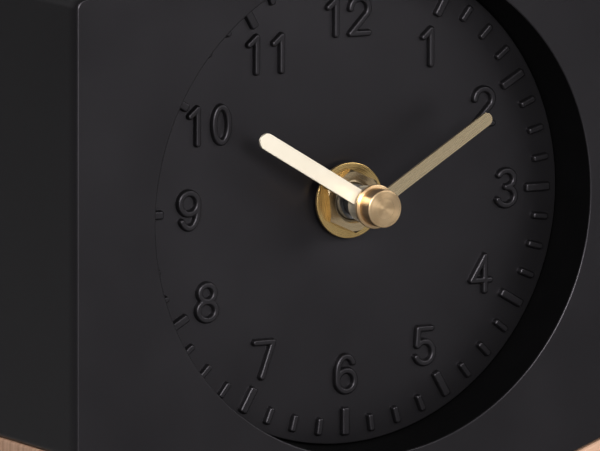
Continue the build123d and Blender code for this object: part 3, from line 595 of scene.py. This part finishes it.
def build_case():
    """The six-sided block, with the dial recess in front and the movement pocket behind."""
    bm = bmesh.new()
    support = 0.06 * MM
    back = RECESS_DEPTH - (case_high.y - case_low.y)
    half_width = (case_high.x - case_low.x) / 2
    corners = (
        (-half_width, -CASE_SIDE, SEAM_CORNER),
        (0, -CASE_APEX, APEX_CORNER),
        (half_width, -CASE_SIDE, SEAM_CORNER),
        (half_width, CASE_SIDE, UPPER_CORNER),
        (0, CASE_APEX, APEX_CORNER),
        (-half_width, CASE_SIDE, UPPER_CORNER),
    )

    def outline(inset, ahead):
        return [bm.verts.new(on_dial(x, z, ahead)) for x, z in rounded_polygon(corners, inset)]

    skin = [outline(FRONT_EDGE[0] + support, RECESS_DEPTH)]
    skin += [outline(inset, RECESS_DEPTH - drop) for inset, drop in edge_steps(FRONT_EDGE)]
    skin.append(outline(0, RECESS_DEPTH - FRONT_EDGE[1] - support))
    skin.append(outline(0, back + REAR_EDGE[1] + support))
    skin += [outline(inset, back + drop) for inset, drop in reversed(edge_steps(REAR_EDGE))]
    skin.append(outline(REAR_EDGE[0] + support, back))
    bridge_all(bm, skin)

    def ring(radius, ahead, centre=dial_centre):
        return circle(bm, radius, ahead, centre, LARGE_CIRCLE)

    rim = [ring(RIM_RADIUS + RIM_EDGE[0] + support, RECESS_DEPTH)]
    rim += [ring(RIM_RADIUS + inset, RECESS_DEPTH - drop) for inset, drop in edge_steps(RIM_EDGE)]
    wall = [
        rim[-1],
        ring(RIM_RADIUS - RECESS_DRAFT, -DIAL_THICKNESS),
        ring(STEM_HOLE, -DIAL_THICKNESS, stem_centre),
        ring(STEM_HOLE, POCKET_FLOOR, stem_centre),
    ]
    bridge_all(bm, rim)
    # The recess wall and floor take the second material, darkened as painted shade.
    for face in bridge_all(bm, wall):
        face.material_index = 1
    fill_between(bm, skin[0], rim[0])

    movement_low, movement_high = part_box("movement_housing")
    low = movement_low - dial_centre
    high = movement_high - dial_centre
    left, right = low.x - POCKET_CLEARANCE, high.x + POCKET_CLEARANCE
    bottom, top = low.z - POCKET_CLEARANCE, high.z + POCKET_CLEARANCE
    pocket_corners = [
        (x, z, POCKET_CORNER) for x, z in ((left, bottom), (right, bottom), (right, top), (left, top))
    ]
    floor, mouth = (
        [bm.verts.new(on_dial(x, z, ahead)) for x, z in rounded_polygon(pocket_corners, 0)]
        for ahead in (POCKET_FLOOR, back)
    )
    bridge(bm, floor, mouth)
    fill_between(bm, floor, wall[-1])
    fill_between(bm, skin[-1], mouth)
    mesh = finish_mesh(bm, "case_shell")
    add_piece("case_shell", mesh, "clock", "black_lacquer", MATERIALS["black_lacquer"], "case_body")
    mesh.materials.append(recess_painted_shade)


# Dial


def distance_to_lines(points, lines):
    """The distance of each point from the nearest of several rows of points."""
    nearest = np.full(len(points), np.inf)
    for line in lines:
        for first, second in zip(line, line[1:]):
            start = np.array(first)
            run = np.array(second) - start
            length = max(run @ run, 1e-18)
            share = np.clip((points - start) @ run / length, 0, 1)
            gap = np.linalg.norm(points - start - share[:, None] * run, axis=1)
            nearest = np.minimum(nearest, gap)
    return nearest


def relief(bm, field, reach, place, shoulder):
    """Add a raised form with upright sides and a round top. The field is below zero inside its outline."""
    cell = RELIEF_CELL
    margin = FOOT_SPREAD + 2 * cell
    across = np.arange(-reach[0] - margin, reach[0] + margin, cell)
    upward = np.arange(-reach[1] - margin, reach[1] + margin, cell)
    grid = np.stack(np.meshgrid(across, upward, indexing="ij"), axis=-1).reshape(-1, 2)
    depth = field(grid) - FOOT_SPREAD
    step = cell / 4
    slope = np.stack(
        [
            field(grid + (step, 0)) - field(grid - (step, 0)),
            field(grid + (0, step)) - field(grid - (0, step)),
        ],
        axis=1,
    )
    slope /= np.maximum(np.linalg.norm(slope, axis=1, keepdims=True), 1e-12)
    edge = (depth > -0.5 * cell) & (depth < 1.2 * cell)
    grid[edge] -= slope[edge] * depth[edge, None]
    depth[edge] = 0
    share = np.clip(-depth / shoulder, 0, 1)
    height = RELIEF * np.sqrt(share * (2 - share))
    height[depth > -1e-9] = -FOOT_DEPTH
    rows = len(upward)
    corners = {}

    def corner(index):
        if index not in corners:
            x, z = grid[index]
            corners[index] = bm.verts.new(place(x, z, height[index]))
        return corners[index]

    made = []
    for column in range(len(across) - 1):
        for row in range(rows - 1):
            first = column * rows + row
            square = (first, first + rows, first + rows + 1, first + 1)
            if max(depth[index] for index in square) <= 0 and min(depth[index] for index in square) < 0:
                made.append(bm.faces.new([corner(index) for index in square]))
    rim = {edge for face in made for edge in face.edges if edge.is_boundary}
    bmesh.ops.triangle_fill(bm, use_beauty=True, edges=list(rim))


def digit_lines(figure):
    """The strokes of a digit, in metres about its middle."""
    half_width = (DIGIT_WIDTH - DIGIT_STROKE) / 2
    half_height = (DIGIT_HEIGHT - DIGIT_STROKE) / 2
    strokes = list(DIGIT_LINES.get(figure, []))
    arcs = [(*oval, 0, 360) for oval in DIGIT_OVALS.get(figure, [])] + DIGIT_ARCS.get(figure, [])
    for centre, across, upward, start, sweep in arcs:
        turns = np.radians(np.linspace(start, start + sweep, 33))
        strokes.append(
            [(centre[0] + across * math.cos(turn), centre[1] + upward * math.sin(turn)) for turn in turns]
        )
    return [[(x * half_width, z * half_height) for x, z in stroke] for stroke in strokes]


def add_digit(bm, figure, x, z):
    """Raise one digit on the dial, about a place measured from the dial's centre."""
    lines = digit_lines(figure)
    relief(
        bm,
        lambda points: distance_to_lines(points, lines) - DIGIT_STROKE / 2,
        DIGIT_REACH,
        lambda right, up, ahead: on_dial(x + right, z + up, ahead),
        DIGIT_SHOULDER,
    )


def add_tick(bm, angle, size):
    """Raise one bar near the dial's edge."""
    length, width = size
    middle = dial_radius - TICK_MARGIN - length / 2
    straight = np.array((width / 2 - TICK_CORNER, length / 2 - TICK_CORNER))

    def field(points):
        beyond = np.abs(points) - straight
        outside = np.linalg.norm(np.maximum(beyond, 0), axis=1)
        return outside + np.minimum(beyond.max(axis=1), 0) - TICK_CORNER

    def place(right, up, ahead):
        spot = Matrix.Rotation(-angle, 2) @ Vector((right, middle + up))
        return on_dial(spot.x, spot.y, ahead)

    relief(bm, field, (width / 2, length / 2), place, TICK_SHOULDER)


def build_dial():
    """The disc with its raised bars and figures, and the boss under the washer."""
    bm = bmesh.new()
    hole = STEM_HOLE + STEM_RISE
    disc = [(hole, -DIAL_THICKNESS), (hole, 0), (dial_radius, 0), (dial_radius, -DIAL_THICKNESS)]
    lathe(bm, eased(disc, DIAL_EDGE), dial_centre, LARGE_CIRCLE)
    boss_back = -DIAL_THICKNESS / 2
    boss = [
        (STEM_HOLE, boss_back),
        (STEM_HOLE, BOSS_HEIGHT),
        (BOSS_RADIUS, BOSS_HEIGHT),
        (BOSS_RADIUS, boss_back),
    ]
    lathe(bm, boss, stem_centre)
    for tick in range(12 * TICKS_PER_HOUR):
        turn = math.radians(30 * tick / TICKS_PER_HOUR)
        add_tick(bm, turn, SHORT_TICK if tick % TICKS_PER_HOUR else HOUR_TICK)
    ring = dial_radius - TICK_MARGIN - HOUR_TICK[0] - NUMERAL_GAP
    for hour, (right, up) in NUMERAL_SHIFTS.items():
        figures = str(hour)
        turn = math.radians(30 * hour)
        for order, figure in enumerate(figures):
            shift = DIGIT_PITCH * (order - (len(figures) - 1) / 2)
            x = ring * math.sin(turn) + right * MM + shift
            z = ring * math.cos(turn) + up * MM
            add_digit(bm, figure, x, z)
    mesh = finish_mesh(bm, "dial_face", 60)
    add_piece("dial_face", mesh, "clock", "dial_black", MATERIALS["dial_black"], "dial_plate")


# Hands, washer and cap


def add_blade(bm, angle, start, length, width, front):
    """Add a straight blade with a round tip and eased edges, pointing along a clock angle."""
    ease = BLADE_EDGE
    along = Vector((math.sin(angle), 0, math.cos(angle)))
    across = Vector((math.cos(angle), 0, -math.sin(angle)))

    def outline(inset, ahead):
        half = width / 2 - inset
        tip = length - width / 2
        points = [(-half, start + inset), (half, start + inset)]
        for step in range(25):
            turn = math.pi * step / 24
            points.append((half * math.cos(turn), tip + half * math.sin(turn)))
        base = stem_centre + Vector((0, -ahead, 0))
        return [bm.verts.new(base + across * x + along * y) for x, y in points]

    back = front - HAND_THICKNESS
    rows = [
        outline(ease, front),
        outline(ease * 0.3, front - ease * 0.3),
        outline(0, front - ease),
        outline(0, back + ease),
        outline(ease, back),
    ]
    bridge_all(bm, rows)
    bm.faces.new(rows[0])
    bm.faces.new(rows[-1])


def map_across(bm, angle):
    """Map a hand so that the map's first direction runs across its grain, leaning so that sides map too."""
    scale = 20
    lean = 3
    layer = bm.loops.layers.uv.new("across")
    along = Vector((math.sin(angle), 0, math.cos(angle)))
    across = Vector((math.cos(angle), 0, -math.sin(angle)))
    for face in bm.faces:
        for loop in face.loops:
            place = loop.vert.co - stem_centre
            loop[layer].uv = (place.dot(across) * scale + place.y * lean, place.dot(along) * scale)


def build_hour_hand():
    """The hour hand's blade on its turned collar."""
    bm = bmesh.new()
    collar_front = HOUR_FRONT - COLLAR_STEP
    collar_back = HOUR_FRONT - COLLAR_LENGTH
    collar = [
        (HOUR_TUBE, collar_back),
        (HOUR_TUBE, collar_front),
        (COLLAR_RADIUS, collar_front),
        (COLLAR_RADIUS, collar_back),
    ]
    lathe(bm, eased(collar, COLLAR_EDGE), stem_centre, 96)
    add_blade(bm, HOUR_ANGLE, HOUR_ROOT, HOUR_LENGTH, HOUR_WIDTH, HOUR_FRONT)
    map_across(bm, HOUR_GRAIN)
    mesh = finish_mesh(bm, "hour_blade", BLADE_SMOOTHING)
    add_piece("hour_blade", mesh, "hour_motion", "brass", hour_brass_painted_highlight, "hour_hand")


def build_minute_hand():
    """The minute hand's blade with its eye on the minute shaft."""
    bm = bmesh.new()
    front = MINUTE_FRONT - EYE_STEP
    back = MINUTE_FRONT - HAND_THICKNESS + EYE_STEP
    eye = [(MINUTE_SHAFT, back), (MINUTE_SHAFT, front), (MINUTE_EYE, front), (MINUTE_EYE, back)]
    lathe(bm, eased(eye, EYE_EDGE), stem_centre, 96)
    add_blade(bm, MINUTE_ANGLE, MINUTE_ROOT, MINUTE_LENGTH, MINUTE_WIDTH, MINUTE_FRONT)
    map_across(bm, MINUTE_GRAIN)
    mesh = finish_mesh(bm, "minute_blade", BLADE_SMOOTHING)
    add_piece("minute_blade", mesh, "minute_motion", "brass", minute_brass, "minute_hand")


def build_cap():
    """The turned cap with its flange, bored to take the minute shaft."""
    bm = bmesh.new()
    flange_front = MINUTE_FRONT + FLANGE_THICKNESS
    bore_end = MINUTE_FRONT + CAP_BORE
    profile = [
        (0, bore_end),
        (MINUTE_SHAFT, bore_end),
        (MINUTE_SHAFT, MINUTE_FRONT),
        (FLANGE_RADIUS, MINUTE_FRONT),
        (FLANGE_RADIUS, flange_front),
        (CAP_RADIUS, flange_front),
        (CAP_RADIUS, CAP_FRONT),
        (0, CAP_FRONT),
    ]
    lathe(bm, eased(profile, CAP_EDGE), stem_centre, 128)
    add_piece("turned_cap", finish_mesh(bm, "turned_cap"), "minute_motion", "brass", cap_brass, "hand_cap")


def build_washer():
    """The brass washer on the dial's boss."""
    bm = bmesh.new()
    front = BOSS_HEIGHT + WASHER_THICKNESS
    ring = [
        (STEM_HOLE, BOSS_HEIGHT),
        (STEM_HOLE, front),
        (WASHER_RADIUS, front),
        (WASHER_RADIUS, BOSS_HEIGHT),
    ]
    lathe(bm, eased(ring, WASHER_EDGE), stem_centre)
    mesh = finish_mesh(bm, "washer_ring")
    add_piece("washer_ring", mesh, "clock", "brass", MATERIALS["brass"], "brass_washer")


build_case()
build_dial()
build_hour_hand()
build_minute_hand()
build_cap()
build_washer()


# Stage, light and camera


def soft_box(name, azimuth, elevation, size, power):
    """A soft box that looks at the clock."""
    turn = math.radians(azimuth)
    rise = math.radians(elevation)
    away = Vector((math.sin(turn) * math.cos(rise), -math.cos(turn) * math.cos(rise), math.sin(rise)))
    data = bpy.data.lights.new(name, "AREA")
    data.shape = "RECTANGLE"
    data.size, data.size_y = size
    data.energy = power
    lamp = bpy.data.objects.new(name, data)
    lamp.location = dial_centre + away * LIGHT_DISTANCE
    lamp.rotation_euler = away.to_track_quat("Z", "Y").to_euler()
    bpy.context.scene.collection.objects.link(lamp)


def pale_floor():
    """A plain pale floor, lifted towards white for the camera."""
    mesh = bpy.data.meshes.new("floor")
    reach = 4.0
    corners = [(-reach, -reach, 0), (reach, -reach, 0), (reach, reach, 0), (-reach, reach, 0)]
    mesh.from_pydata(corners, [], [(0, 1, 2, 3)])
    surface = Surface("floor", (0.4, 0.4, 0.4), 0.9)
    surface.shader.inputs["Specular IOR Level"].default_value = 0
    surface.colour(surface.blend(surface.noise(14, detail=3), (0.39, 0.39, 0.39), (0.41, 0.41, 0.41)))
    path = surface.add("ShaderNodeLightPath")
    surface.shader.inputs["Emission Color"].default_value = (1, 1, 1, 1)
    lift = surface.math("MULTIPLY", path.outputs["Is Camera Ray"], FLOOR_LIFT)
    surface.link(lift, surface.shader.inputs["Emission Strength"])
    mesh.materials.append(surface.material)
    floor = bpy.data.objects.new("floor", mesh)
    bpy.context.scene.collection.objects.link(floor)


def studio_world():
    """A dim room that lights the clock from all round, a paler one in reflections, white for the camera."""
    world = bpy.data.worlds.new("studio")
    world.use_nodes = True
    tree = world.node_tree
    tree.nodes.clear()
    output = tree.nodes.new("ShaderNodeOutputWorld")
    path = tree.nodes.new("ShaderNodeLightPath")

    def background(strength):
        node = tree.nodes.new("ShaderNodeBackground")
        node.inputs["Strength"].default_value = strength
        return node.outputs[0]

    def choose(ray, otherwise, chosen):
        mix = tree.nodes.new("ShaderNodeMixShader")
        tree.links.new(path.outputs[ray], mix.inputs["Fac"])
        tree.links.new(otherwise, mix.inputs[1])
        tree.links.new(chosen, mix.inputs[2])
        return mix.outputs[0]

    reflected = choose("Is Glossy Ray", background(ROOM_LIGHT), background(ROOM_REFLECTION))
    seen = choose("Is Camera Ray", reflected, background(1.0))
    tree.links.new(seen, output.inputs["Surface"])
    bpy.context.scene.world = world


def photo_camera():
    """The camera at the photograph's place."""
    data = bpy.data.cameras.new("photo_camera")
    data.sensor_fit = "HORIZONTAL"
    data.sensor_width = 36
    data.lens = LENS
    data.clip_end = 50
    camera = bpy.data.objects.new("photo_camera", data)
    aim = (AIM_FROM_DIAL - CAMERA_FROM_DIAL).to_track_quat("-Z", "Y").to_matrix()
    camera.matrix_world = (aim @ Matrix.Rotation(CAMERA_ROLL, 3, "Z")).to_4x4()
    camera.location = dial_centre + CAMERA_FROM_DIAL
    bpy.context.scene.collection.objects.link(camera)
    bpy.context.scene.camera = camera


pale_floor()
studio_world()
for box_name, box_values in SOFT_BOXES.items():
    soft_box(box_name, *box_values)
photo_camera()
bpy.context.scene.view_settings.view_transform = "Standard"
